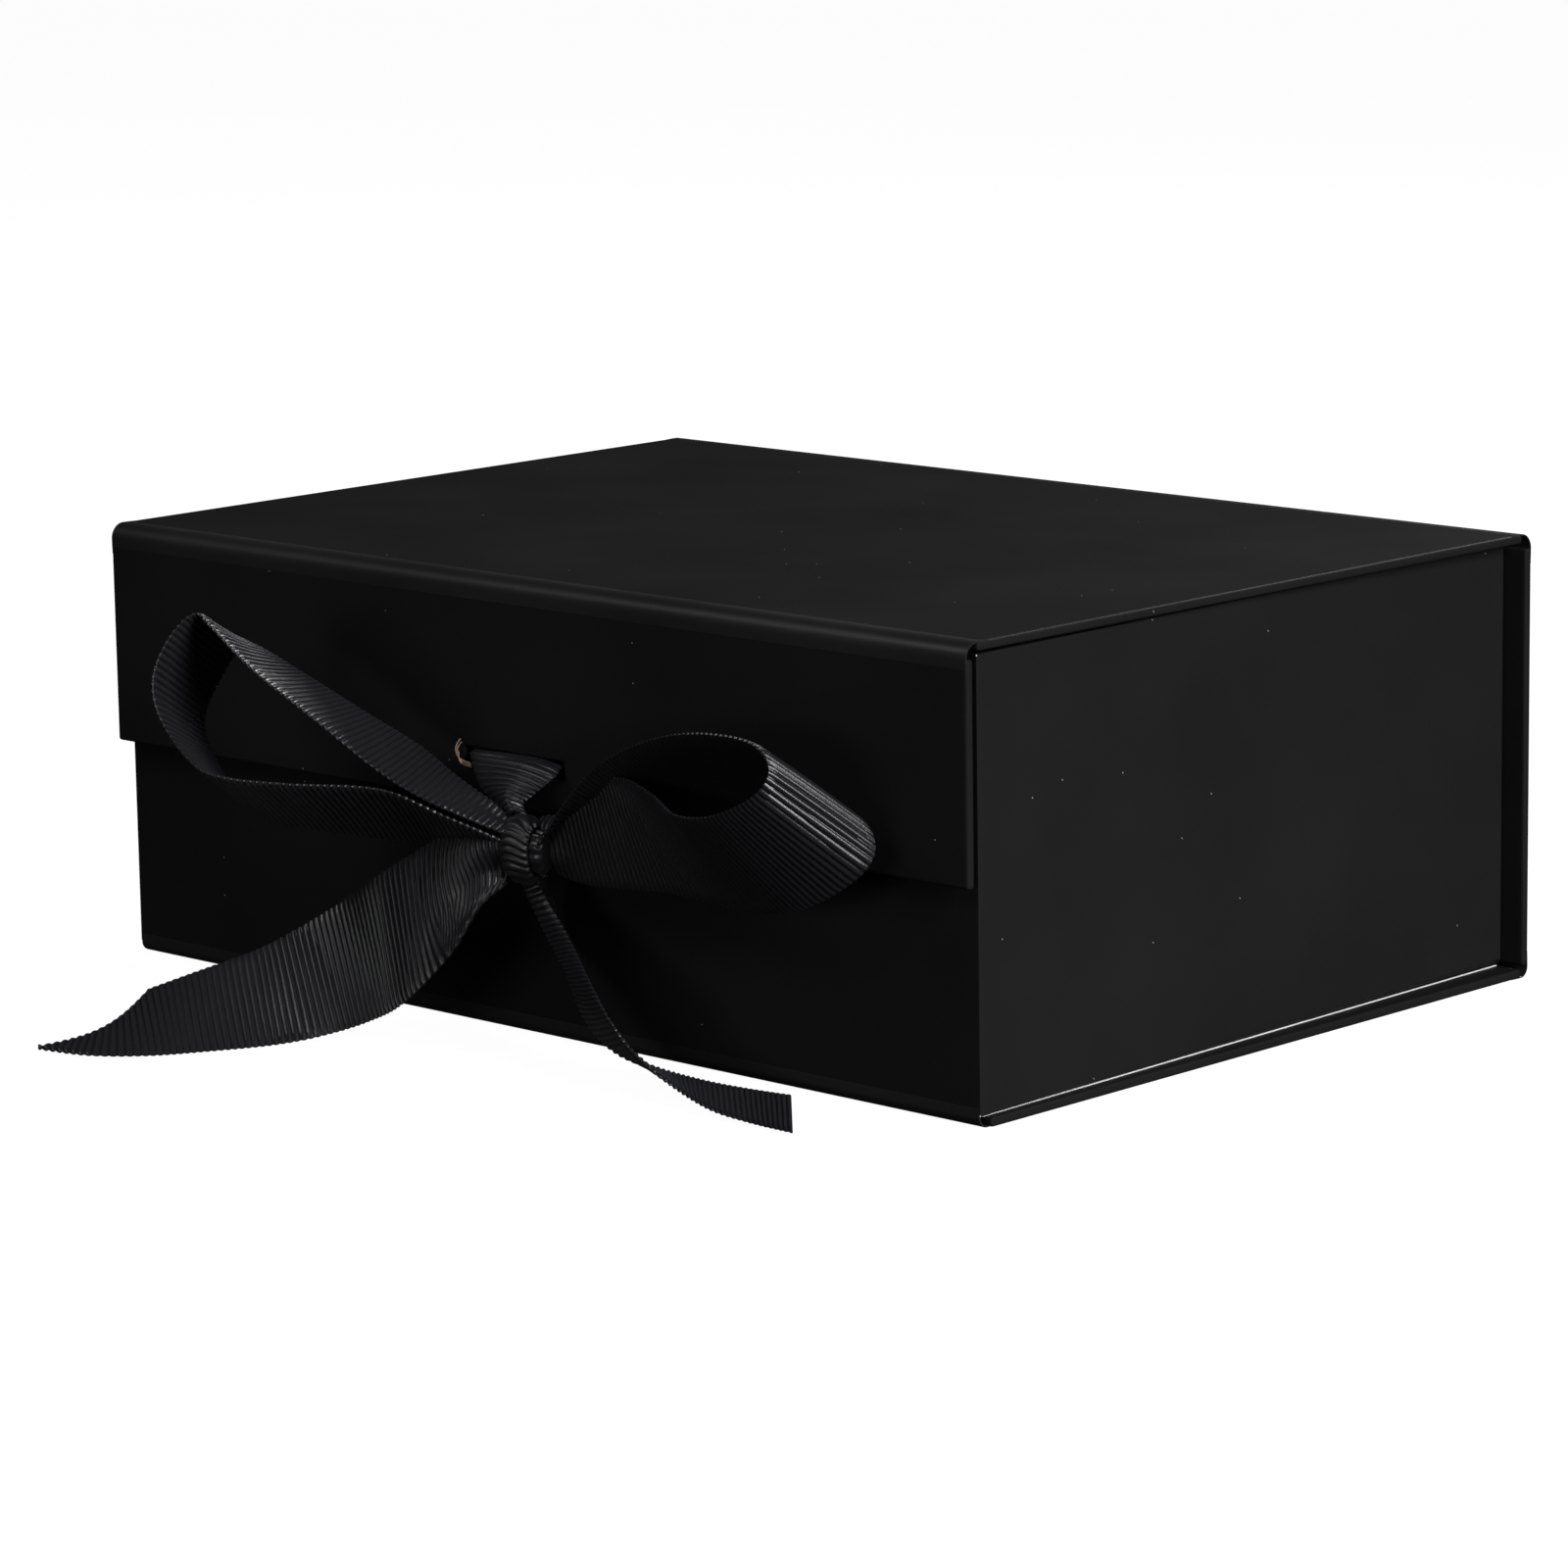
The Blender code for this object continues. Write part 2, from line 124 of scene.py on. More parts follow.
# The case's paper: black, laminated with a soft-touch film that is matt with a faint bloom.
# It has a very fine orange peel, dust on it, and the white core shows where a corner is rubbed.
# Where the paper is stretched round a fold it is a little glossier.
def black_paper(name, color, roughness, specular, dust, bump):
    paint = bpy.data.materials.new(name)
    paint.use_nodes = True
    nodes = paint.node_tree.nodes
    links = paint.node_tree.links
    shader = nodes["Principled BSDF"]
    shader.inputs["Specular IOR Level"].default_value = specular
    place = nodes.new("ShaderNodeTexCoord")

    # Cloudy change of tone and of gloss over a hand's width.
    cloud = nodes.new("ShaderNodeTexNoise")
    cloud.inputs["Scale"].default_value = 22.0
    cloud.inputs["Detail"].default_value = 4.0
    links.new(place.outputs["Object"], cloud.inputs["Vector"])
    tone = nodes.new("ShaderNodeValToRGB")
    tone.color_ramp.elements[0].position = 0.3
    tone.color_ramp.elements[0].color = (*[c * 0.88 for c in color], 1.0)
    tone.color_ramp.elements[1].position = 0.7
    tone.color_ramp.elements[1].color = (*[c * 1.12 for c in color], 1.0)
    links.new(cloud.outputs["Fac"], tone.inputs["Fac"])
    gloss = nodes.new("ShaderNodeMapRange")
    gloss.inputs["From Min"].default_value = 0.3
    gloss.inputs["From Max"].default_value = 0.7
    gloss.inputs["To Min"].default_value = roughness - 0.03
    gloss.inputs["To Max"].default_value = roughness + 0.03
    links.new(cloud.outputs["Fac"], gloss.inputs["Value"])
    links.new(gloss.outputs["Result"], shader.inputs["Roughness"])

    # Orange peel of the film, and faint streaks from the laminating rollers.
    peel = nodes.new("ShaderNodeTexNoise")
    peel.inputs["Scale"].default_value = 900.0
    peel.inputs["Detail"].default_value = 3.0
    links.new(place.outputs["Object"], peel.inputs["Vector"])
    stretch = nodes.new("ShaderNodeMapping")
    stretch.inputs["Scale"].default_value = (14.0, 420.0, 420.0)
    links.new(place.outputs["Object"], stretch.inputs["Vector"])
    streak = nodes.new("ShaderNodeTexNoise")
    streak.inputs["Scale"].default_value = 1.0
    streak.inputs["Detail"].default_value = 2.0
    links.new(stretch.outputs["Vector"], streak.inputs["Vector"])
    relief = nodes.new("ShaderNodeMath")
    relief.operation = "ADD"
    links.new(peel.outputs["Fac"], relief.inputs[0])
    links.new(streak.outputs["Fac"], relief.inputs[1])
    raised = nodes.new("ShaderNodeBump")
    raised.inputs["Strength"].default_value = bump
    raised.inputs["Distance"].default_value = 0.0002
    links.new(relief.outputs["Value"], raised.inputs["Height"])
    links.new(raised.outputs["Normal"], shader.inputs["Normal"])

    # Dust: one tiny white speck in a few of the cells of a pattern that runs over every face.
    apart = nodes.new("ShaderNodeSeparateXYZ")
    links.new(place.outputs["Object"], apart.inputs["Vector"])
    across = nodes.new("ShaderNodeMath")
    links.new(apart.outputs["X"], across.inputs[0])
    links.new(apart.outputs["Y"], across.inputs[1])
    upward = nodes.new("ShaderNodeMath")
    links.new(apart.outputs["Z"], upward.inputs[0])
    links.new(apart.outputs["Y"], upward.inputs[1])
    spread = nodes.new("ShaderNodeCombineXYZ")
    links.new(across.outputs["Value"], spread.inputs["X"])
    links.new(upward.outputs["Value"], spread.inputs["Y"])
    cells = nodes.new("ShaderNodeTexVoronoi")
    cells.voronoi_dimensions = "2D"
    cells.inputs["Scale"].default_value = 120.0
    links.new(spread.outputs["Vector"], cells.inputs["Vector"])
    speck = nodes.new("ShaderNodeMath")
    speck.operation = "LESS_THAN"
    speck.inputs[1].default_value = 0.016
    links.new(cells.outputs["Distance"], speck.inputs[0])
    chance = nodes.new("ShaderNodeSeparateColor")
    links.new(cells.outputs["Color"], chance.inputs["Color"])
    few = nodes.new("ShaderNodeMath")
    few.operation = "LESS_THAN"
    few.inputs[1].default_value = dust
    links.new(chance.outputs["Red"], few.inputs[0])
    dusty = nodes.new("ShaderNodeMath")
    dusty.operation = "MULTIPLY"
    links.new(speck.outputs["Value"], dusty.inputs[0])
    links.new(few.outputs["Value"], dusty.inputs[1])
    with_dust = nodes.new("ShaderNodeMix")
    with_dust.data_type = "RGBA"
    with_dust.inputs["B"].default_value = (0.32, 0.32, 0.31, 1.0)
    links.new(dusty.outputs["Value"], with_dust.inputs["Factor"])
    links.new(tone.outputs["Color"], with_dust.inputs["A"])

    # Rubbed corners: the attribute says how exposed a place is, a noise breaks it up.
    exposed = nodes.new("ShaderNodeAttribute")
    exposed.attribute_name = "rubbed"
    grain = nodes.new("ShaderNodeTexNoise")
    grain.inputs["Scale"].default_value = 1500.0
    links.new(place.outputs["Object"], grain.inputs["Vector"])
    broken = nodes.new("ShaderNodeMath")
    broken.operation = "MULTIPLY"
    links.new(exposed.outputs["Fac"], broken.inputs[0])
    links.new(grain.outputs["Fac"], broken.inputs[1])
    bare = nodes.new("ShaderNodeMapRange")
    bare.inputs["From Min"].default_value = 0.40
    bare.inputs["From Max"].default_value = 0.48
    links.new(broken.outputs["Value"], bare.inputs["Value"])
    worn = nodes.new("ShaderNodeMix")
    worn.data_type = "RGBA"
    worn.inputs["B"].default_value = (0.55, 0.55, 0.56, 1.0)
    links.new(bare.outputs["Result"], worn.inputs["Factor"])
    links.new(with_dust.outputs["Result"], worn.inputs["A"])
    links.new(worn.outputs["Result"], shader.inputs["Base Color"])
    return paint


SOFT_TOUCH = black_paper("soft_touch_paper", (0.0130, 0.0130, 0.0136), 0.50, 0.03, 0.06, 0.10)
FOLD_TOUCH = black_paper("fold_paper", (0.0130, 0.0130, 0.0136), 0.40, 0.40, 0.0, 0.10)
LINER = black_paper("liner_paper", (0.024, 0.024, 0.025), 0.80, 0.25, 0.05, 0.30)


def finish(obj, name, look, body, nodes=(), smooth=40.0):
    """Name a finished piece, point its faces outwards, dress it and hang it on its body."""
    bpy.ops.object.select_all(action="DESELECT")
    bpy.context.view_layer.objects.active = obj
    obj.select_set(True)
    bpy.ops.object.mode_set(mode="EDIT")
    bpy.ops.mesh.select_all(action="SELECT")
    bpy.ops.mesh.normals_make_consistent(inside=False)
    bpy.ops.object.mode_set(mode="OBJECT")
    bpy.ops.object.shade_smooth_by_angle(angle=math.radians(smooth))
    obj.name = name
    obj.data.name = name
    obj.data.materials.clear()
    obj.data.materials.append(look)
    if nodes:
        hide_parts(*nodes)
    if body is not None:
        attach(obj, body)
    return obj


def block(low, high):
    """A cuboid between two corners, alone in the selection and with its place in its mesh."""
    bpy.ops.object.select_all(action="DESELECT")
    low = Vector(low)
    high = Vector(high)
    bpy.ops.mesh.primitive_cube_add(size=1.0, location=(low + high) / 2)
    obj = bpy.context.object
    obj.scale = high - low
    bpy.ops.object.transform_apply(location=True, rotation=False, scale=True)
    return obj


def apply_modifier(obj, kind, **settings):
    bpy.ops.object.select_all(action="DESELECT")
    bpy.context.view_layer.objects.active = obj
    obj.select_set(True)
    added = obj.modifiers.new(kind.lower(), kind)
    for key, value in settings.items():
        setattr(added, key, value)
    bpy.ops.object.modifier_apply(modifier=added.name)


def cut_away(obj, cutter):
    apply_modifier(obj, "BOOLEAN", operation="DIFFERENCE", object=cutter, solver="EXACT")
    bpy.data.objects.remove(cutter, do_unlink=True)


def rub_corners(obj, corners, reach):
    """Cut lines round the corners and mark how exposed each vertex is: 1 at a corner, falling to
    0 over the reach."""
    bpy.ops.object.select_all(action="DESELECT")
    bpy.context.view_layer.objects.active = obj
    obj.select_set(True)
    bpy.ops.object.mode_set(mode="EDIT")
    for axis in range(3):
        normal = [float(axis == k) for k in range(3)]
        places = sorted({round(corner[axis], 6) for corner in corners})
        for place, inward in ((places[0], 1), (places[-1], -1)):
            for step in (0.5, 1.0):
                at = [(place + inward * step * reach) * n for n in normal]
                bpy.ops.mesh.select_all(action="SELECT")
                bpy.ops.mesh.bisect(plane_co=at, plane_no=normal)
    bpy.ops.object.mode_set(mode="OBJECT")
    mark = obj.data.attributes.new("rubbed", "FLOAT", "POINT")
    points = np.array([v.co for v in obj.data.vertices])
    nearest = np.min([np.linalg.norm(points - np.array(c), axis=1) for c in corners], axis=0)
    mark.data.foreach_set("value", np.clip(1.0 - nearest / reach, 0.0, 1.0).astype(np.float32))


def box_corners(low, high):
    return [(x, y, z) for x in (low[0], high[0]) for y in (low[1], high[1]) for z in (low[2], high[2])]


# Lid, flap, spine and base: four flat greyboards, each with the black paper glued on, turned in
# over its ends and rubbed at its corners. The flap has a slot for the ribbon, cut and creased.
lid_low, lid_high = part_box("lid_board")
BOARD = lid_high.z - lid_low.z
EDGE = 0.00055
RUBBED = 0.0012


def wrapped_board(name, node, body, cutters=()):
    low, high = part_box(node)
    board = block(low, high)
    for cutter in cutters:
        cut_away(board, cutter)
    apply_modifier(board, "BEVEL", width=EDGE, segments=4, limit_method="ANGLE", profile=0.5)
    rub_corners(board, box_corners(low, high), RUBBED)
    return finish(board, name, SOFT_TOUCH, body, (node,))


flap_low, flap_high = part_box("flap_board")
SLOT_HALF = 0.0135
SLOT_Z = 0.0530
SLOT_HALF_HEIGHT = 0.00185
slot_cutter = block((-SLOT_HALF, flap_low.y - BOARD, SLOT_Z - SLOT_HALF_HEIGHT),
                    (SLOT_HALF, flap_high.y + BOARD, SLOT_Z + SLOT_HALF_HEIGHT))
wrapped_board("lid_panel", "lid_board", "lid")
wrapped_board("flap_panel", "flap_board", "flap", (slot_cutter,))
wrapped_board("spine_panel", "spine_board", "tray")
wrapped_board("base_panel", "base_board", "tray")

# Front wall and side walls: three boards in one wrap, folded round the front corners. The side
# walls stand closer together at the back, where the wrap turns in to the tabs, and reach down to
# the base, where their outer edge is cut away to a groove.
wall_low, wall_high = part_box("front_board")
SIDE_FRONT = wall_high.x
side_low, side_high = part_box("side_board_right")
SIDE_BACK = 0.1105
SKEW = math.atan((SIDE_FRONT - SIDE_BACK) / (side_high.y - side_low.y))
FOLD_ROUND = 0.0010
BACK_ROUND = 0.0014
FOOT_SLOPE = 0.0016
SIDE_FOOT = BOARD + 0.00005
LIP = 0.0007
LONG_EDGE = 0.05
NEAR = 0.0004
wall_frame = block(wall_low, (wall_high.x, wall_high.y, wall_high.z))
for side in (-1, 1):
    side_wall = block((-BOARD / 2, wall_low.y, SIDE_FOOT), (BOARD / 2, side_high.y, wall_high.z))
    for vertex in side_wall.data.vertices:
        lean = math.tan(SKEW) * (vertex.co.y - wall_low.y)
        vertex.co.x += side * (SIDE_FRONT - BOARD / 2 - lean)
    apply_modifier(wall_frame, "BOOLEAN", operation="UNION", object=side_wall, solver="EXACT")
    bpy.data.objects.remove(side_wall, do_unlink=True)


def round_edges(obj, width, chosen, segments=5):
    """Bevel the edges for which chosen(a, b) says yes."""
    bpy.ops.object.select_all(action="DESELECT")
    bpy.context.view_layer.objects.active = obj
    obj.select_set(True)
    bpy.ops.object.mode_set(mode="EDIT")
    shape = bmesh.from_edit_mesh(obj.data)
    for edge in shape.edges:
        edge.select = chosen(edge.verts[0].co, edge.verts[1].co)
    bmesh.update_edit_mesh(obj.data)
    bpy.ops.mesh.bevel(offset=width, segments=segments, affect="EDGES")
    bpy.ops.object.mode_set(mode="OBJECT")


def is_front_corner(a, b):
    upright = abs(a.z - b.z) > LONG_EDGE
    outermost = min(abs(a.x), abs(b.x)) > SIDE_FRONT - NEAR
    return upright and outermost and a.y < wall_low.y + NEAR


def is_back_corner(a, b):
    upright = abs(a.z - b.z) > LONG_EDGE
    return upright and min(abs(a.x), abs(b.x)) > SIDE_BACK - NEAR and a.y > side_high.y - NEAR


def is_side_foot(a, b):
    lengthwise = abs(a.y - b.y) > LONG_EDGE
    lowest = max(a.z, b.z) < SIDE_FOOT + NEAR / 4
    return lengthwise and lowest and min(abs(a.x), abs(b.x)) > SIDE_BACK - NEAR


round_edges(wall_frame, FOOT_SLOPE, is_side_foot, segments=1)
round_edges(wall_frame, FOLD_ROUND, is_front_corner)
round_edges(wall_frame, BACK_ROUND, is_back_corner)
apply_modifier(wall_frame, "BEVEL", width=LIP, segments=4, limit_method="ANGLE",
               angle_limit=math.radians(50.0))
front_low = (-SIDE_FRONT, wall_low.y, wall_low.z)
front_high = (SIDE_FRONT, wall_low.y, wall_high.z)
rub_corners(wall_frame, box_corners(front_low, front_high), RUBBED)
finish(wall_frame, "wall_frame", SOFT_TOUCH, "tray",
       ("front_board", "side_board_left", "side_board_right"))

# A painted highlight: a hair line of pale material in the groove at each side wall's foot stands for the
# bright line along the rounded foot.
FOOT_HIGHLIGHT_PAINT = bpy.data.materials.new("painted_foot_highlight")
FOOT_HIGHLIGHT_PAINT.use_nodes = True
foot_highlight_shader = FOOT_HIGHLIGHT_PAINT.node_tree.nodes["Principled BSDF"]
foot_highlight_shader.inputs["Roughness"].default_value = 0.9
foot_highlight_grain = FOOT_HIGHLIGHT_PAINT.node_tree.nodes.new("ShaderNodeTexNoise")
foot_highlight_grain.inputs["Scale"].default_value = 700.0
foot_highlight_place = FOOT_HIGHLIGHT_PAINT.node_tree.nodes.new("ShaderNodeTexCoord")
foot_highlight_tone = FOOT_HIGHLIGHT_PAINT.node_tree.nodes.new("ShaderNodeValToRGB")
# Painted highlight colour: pale grey to near white, broken up by a fine noise.
foot_highlight_tone.color_ramp.elements[0].color = (0.55, 0.54, 0.52, 1.0)
foot_highlight_tone.color_ramp.elements[1].color = (0.95, 0.95, 0.94, 1.0)
FOOT_HIGHLIGHT_PAINT.node_tree.links.new(foot_highlight_place.outputs["Object"], foot_highlight_grain.inputs["Vector"])
FOOT_HIGHLIGHT_PAINT.node_tree.links.new(foot_highlight_grain.outputs["Fac"], foot_highlight_tone.inputs["Fac"])
FOOT_HIGHLIGHT_PAINT.node_tree.links.new(foot_highlight_tone.outputs["Color"], foot_highlight_shader.inputs["Base Color"])
HAIR_HALF = 0.00020
HAIR_LOW = BOARD + 0.00002
HAIR_HIGH = BOARD + 0.00024
HAIR_INSET = 0.0010
for side, word in ((-1, "left"), (1, "right")):
    hair = block((-HAIR_HALF, wall_low.y + 0.0016, HAIR_LOW), (HAIR_HALF, side_high.y - 0.0010, HAIR_HIGH))
    for vertex in hair.data.vertices:
        lean = math.tan(SKEW) * (vertex.co.y - wall_low.y)
        vertex.co.x += side * (SIDE_FRONT - HAIR_INSET - lean)
    apply_modifier(hair, "BEVEL", width=0.00006, segments=2)
    finish(hair, "foot_painted_highlight_" + word, FOOT_HIGHLIGHT_PAINT, "tray")

# The folds are the same black paper, bare between two boards. The lid's two folds are rounded and
# are left in place without a body, and the two along the floor stay as they are.
FOLD_PAPER = 0.00030
PROUD = 0.00003
TUCK = 0.0030


def paper_fold(name, center, radius, start_direction, end_direction, half_length):
    """A strip that lies on one board, goes round a quarter arc and lies on the next board.
    The directions point from the arc's centre to where the arc begins and ends."""
    bpy.ops.object.select_all(action="DESELECT")
    steps = 36
    bpy.ops.mesh.primitive_grid_add(x_subdivisions=24, y_subdivisions=steps, size=1.0)
    strip = bpy.context.object
    a = Vector(start_direction)
    b = Vector(end_direction)
    arc = radius * math.pi / 2
    for vertex in strip.data.vertices:
        along = (vertex.co.y + 0.5) * (arc + 2 * TUCK) - TUCK
        outside = max(0.0, -along, along - arc)
        reach = radius + PROUD - 2 * PROUD * min(1.0, outside / (0.8 * TUCK)) ** 2
        turned = min(max(along / radius, 0.0), math.pi / 2)
        place = Vector(center) + reach * (math.cos(turned) * a + math.sin(turned) * b)
        if along < 0:
            place += b * along
        if along > arc:
            place -= a * (along - arc)
        vertex.co = (vertex.co.x * 2 * half_length, place.y, place.z)
    bpy.ops.object.mode_set(mode="EDIT")
    bpy.ops.mesh.select_all(action="SELECT")
    bpy.ops.mesh.normals_make_consistent(inside=False)
    bpy.ops.object.mode_set(mode="OBJECT")
    return strip


def thicken_inwards(strip, center):
    """Give the paper its thickness towards the fold's centre."""
    shape = bmesh.new()
    shape.from_mesh(strip.data)
    shape.faces.ensure_lookup_table()
    face = shape.faces[len(shape.faces) // 2]
    outward = face.calc_center_median() - Vector(center)
    outward.x = 0.0
    if face.normal.dot(outward) < 0:
        bmesh.ops.reverse_faces(shape, faces=shape.faces[:])
    shape.to_mesh(strip.data)
    shape.free()
    apply_modifier(strip, "SOLIDIFY", thickness=FOLD_PAPER, offset=-1.0)


UP = (0.0, 0.0, 1.0)
DOWN = (0.0, 0.0, -1.0)
FORWARD = (0.0, -1.0, 0.0)
BACKWARD = (0.0, 1.0, 0.0)
HALF = lid_high.x
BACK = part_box("spine_board")[1].y
HINGE_R = lid_low.y - flap_low.y
HINGE_Y = lid_high.y
HINGE_Z = flap_high.z
FOOT_R = 0.002
FOLD_RUBBED = 0.0017
ROUND_THE_FOLD = 0.7
folds = (
    ("fold_lid_flap", (0.0, -HINGE_Y, HINGE_Z), HINGE_R, UP, FORWARD, ("lid", "flap")),
    ("fold_lid_spine", (0.0, HINGE_Y, HINGE_Z), HINGE_R, UP, BACKWARD, ("lid", "tray")),
    ("fold_base_front", (0.0, wall_low.y + FOOT_R, FOOT_R), FOOT_R, FORWARD, DOWN, None),
    ("fold_base_spine", (0.0, BACK - FOOT_R, FOOT_R), FOOT_R, BACKWARD, DOWN, None),
)
for node, center, radius, start_way, end_way, bodies in folds:
    half_length = SIDE_FRONT if node == "fold_base_front" else HALF
    strip = paper_fold(node, center, radius, start_way, end_way, half_length - 0.0002)
    thicken_inwards(strip, center)
    ends = [(side * half_length, center[1] + radius * w[1] * ROUND_THE_FOLD,
             center[2] + radius * w[2] * ROUND_THE_FOLD)
            for side in (-1, 1) for w in (start_way, end_way)]
    rub_corners(strip, ends, FOLD_RUBBED)
    finish(strip, node + "_paper", FOLD_TOUCH, None if bodies else "tray", (node,))
    if bodies:
        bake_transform(strip)

# Inside: uncoated black paper glued over every inner face, tabs of thin wrapped board turned in
# from the side walls, and the clear tape that holds them. Magnets and plates sit in pockets.
for node in ("base_lining", "front_lining", "spine_lining", "side_lining_left", "side_lining_right",
             "lid_lining", "flap_lining"):
    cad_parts[node].data.materials.clear()
    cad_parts[node].data.materials.append(LINER)
for wall in ("front", "back"):
    for word in ("left", "right"):
        tab = "tab_" + wall + "_" + word
        low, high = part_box(tab)
        panel = block(low, high)
        apply_modifier(panel, "BEVEL", width=0.0004, segments=3, limit_method="ANGLE")
        finish(panel, tab + "_panel", SOFT_TOUCH, "tray", (tab,))


def plain_finish(name, color, roughness, metallic, grain_scale, grain_amount):
    paint = bpy.data.materials.new(name)
    paint.use_nodes = True
    nodes = paint.node_tree.nodes
    links = paint.node_tree.links
    shader = nodes["Principled BSDF"]
    shader.inputs["Metallic"].default_value = metallic
    place = nodes.new("ShaderNodeTexCoord")
    grain = nodes.new("ShaderNodeTexNoise")
    grain.inputs["Scale"].default_value = grain_scale
    grain.inputs["Detail"].default_value = 4.0
    links.new(place.outputs["Object"], grain.inputs["Vector"])
    tone = nodes.new("ShaderNodeValToRGB")
    tone.color_ramp.elements[0].color = (*[c * (1.0 - grain_amount) for c in color], 1.0)
    tone.color_ramp.elements[1].color = (*[min(1.0, c * (1.0 + grain_amount)) for c in color], 1.0)
    links.new(grain.outputs["Fac"], tone.inputs["Fac"])
    links.new(tone.outputs["Color"], shader.inputs["Base Color"])
    rough = nodes.new("ShaderNodeMapRange")
    rough.inputs["To Min"].default_value = roughness - 0.06
    rough.inputs["To Max"].default_value = roughness + 0.06
    links.new(grain.outputs["Fac"], rough.inputs["Value"])
    links.new(rough.outputs["Result"], shader.inputs["Roughness"])
    return paint


NICKEL = plain_finish("magnet_nickel_plate", (0.62, 0.60, 0.56), 0.25, 1.0, 400.0, 0.08)
STEEL = plain_finish("plate_bare_steel", (0.42, 0.42, 0.43), 0.45, 1.0, 600.0, 0.15)
TAPE = plain_finish("tape_backing", (0.78, 0.76, 0.70), 0.45, 0.0, 300.0, 0.05)
for name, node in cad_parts.items():
    look = NICKEL if name.startswith("magnet") else STEEL if name.startswith("steel") else TAPE
    if name.startswith(("magnet", "steel", "tape")):
        node.data.materials.clear()
        node.data.materials.append(look)

# Ribbon: black grosgrain, 25 mm wide. Thick weft cords make a rib every 1.3 mm on both faces, the
# warp covers them with fine threads along the ribbon, and each rib ends in a small loop.
RIBBON_WIDTH = 0.025
RIB_PITCH = 0.0013
RIB_STEPS = 8
RIB_HEIGHT = 0.00034
RIBBON_THICKNESS = 0.00034
ACROSS = 18
SELVEDGE = 0.0007
SELVEDGE_LOOP = 0.00016

GROSGRAIN = bpy.data.materials.new("black_grosgrain")
GROSGRAIN.use_nodes = True
weave_nodes = GROSGRAIN.node_tree.nodes
weave_links = GROSGRAIN.node_tree.links
weave = weave_nodes["Principled BSDF"]
weave.inputs["Roughness"].default_value = 0.30
weave.inputs["Anisotropic"].default_value = 0.60
weave.inputs["Anisotropic Rotation"].default_value = 0.25
weave.inputs["Specular IOR Level"].default_value = 0.60
weave.inputs["Sheen Weight"].default_value = 0.04
weave.inputs["Sheen Roughness"].default_value = 0.35
weave.inputs["Sheen Tint"].default_value = (0.80, 0.82, 1.0, 1.0)
# Painted shade: the base colour is darkest in the valleys between the ribs and lightest on their crests,
# read from the rib attribute.
rib_shade_source = weave_nodes.new("ShaderNodeAttribute")
rib_shade_source.attribute_name = "rib"
rib_valley_shade = weave_nodes.new("ShaderNodeValToRGB")
rib_valley_shade.color_ramp.elements[0].color = (0.004, 0.004, 0.005, 1.0)
rib_valley_shade.color_ramp.elements[1].color = (0.015, 0.015, 0.018, 1.0)
weave_links.new(rib_shade_source.outputs["Fac"], rib_valley_shade.inputs["Fac"])
weave_uv = weave_nodes.new("ShaderNodeUVMap")
weave_uv.uv_map = "ribbon"
warp_way = weave_nodes.new("ShaderNodeTangent")
warp_way.direction_type = "UV_MAP"
warp_way.uv_map = "ribbon"
weave_links.new(warp_way.outputs["Tangent"], weave.inputs["Tangent"])
thread_scale = weave_nodes.new("ShaderNodeMapping")
thread_scale.inputs["Scale"].default_value = (24.0, 120.0, 1.0)
weave_links.new(weave_uv.outputs["UV"], thread_scale.inputs["Vector"])
threads = weave_nodes.new("ShaderNodeTexNoise")
threads.inputs["Scale"].default_value = 1.0
threads.inputs["Detail"].default_value = 2.0
weave_links.new(thread_scale.outputs["Vector"], threads.inputs["Vector"])
thread_tone = weave_nodes.new("ShaderNodeMapRange")
thread_tone.inputs["To Min"].default_value = 0.55
thread_tone.inputs["To Max"].default_value = 1.45
weave_links.new(threads.outputs["Fac"], thread_tone.inputs["Value"])
tinted = weave_nodes.new("ShaderNodeVectorMath")
tinted.operation = "SCALE"
weave_links.new(rib_valley_shade.outputs["Color"], tinted.inputs[0])
weave_links.new(thread_tone.outputs["Result"], tinted.inputs["Scale"])
weave_links.new(tinted.outputs["Vector"], weave.inputs["Base Color"])
thread_relief = weave_nodes.new("ShaderNodeBump")
thread_relief.inputs["Strength"].default_value = 0.5
thread_relief.inputs["Distance"].default_value = 0.0001
weave_links.new(threads.outputs["Fac"], thread_relief.inputs["Height"])
weave_links.new(thread_relief.outputs["Normal"], weave.inputs["Normal"])


def flowing(points, per_span=24):
    """Points close together on the smooth curve through the given points, in metres."""
    given = np.array(points) / 1000.0
    padded_ends = np.vstack([given[0], given, given[-1]])
    flow = []
    for a, b, c, d in zip(padded_ends, padded_ends[1:], padded_ends[2:], padded_ends[3:]):
        t = np.linspace(0.0, 1.0, per_span, endpoint=False)[:, None]
        flow.append(0.5 * (2 * b + (c - a) * t + (2 * a - 5 * b + 4 * c - d) * t ** 2
                           + (3 * b - a - 3 * c + d) * t ** 3))
    flow.append(given[-1:])
    return np.vstack(flow)


def unit(vectors):
    return vectors / np.maximum(np.linalg.norm(vectors, axis=2, keepdims=True), 1e-12)


def facing(grid):
    """Unit normals of a grid of points."""
    return unit(np.cross(np.gradient(grid, axis=0), np.gradient(grid, axis=1)))


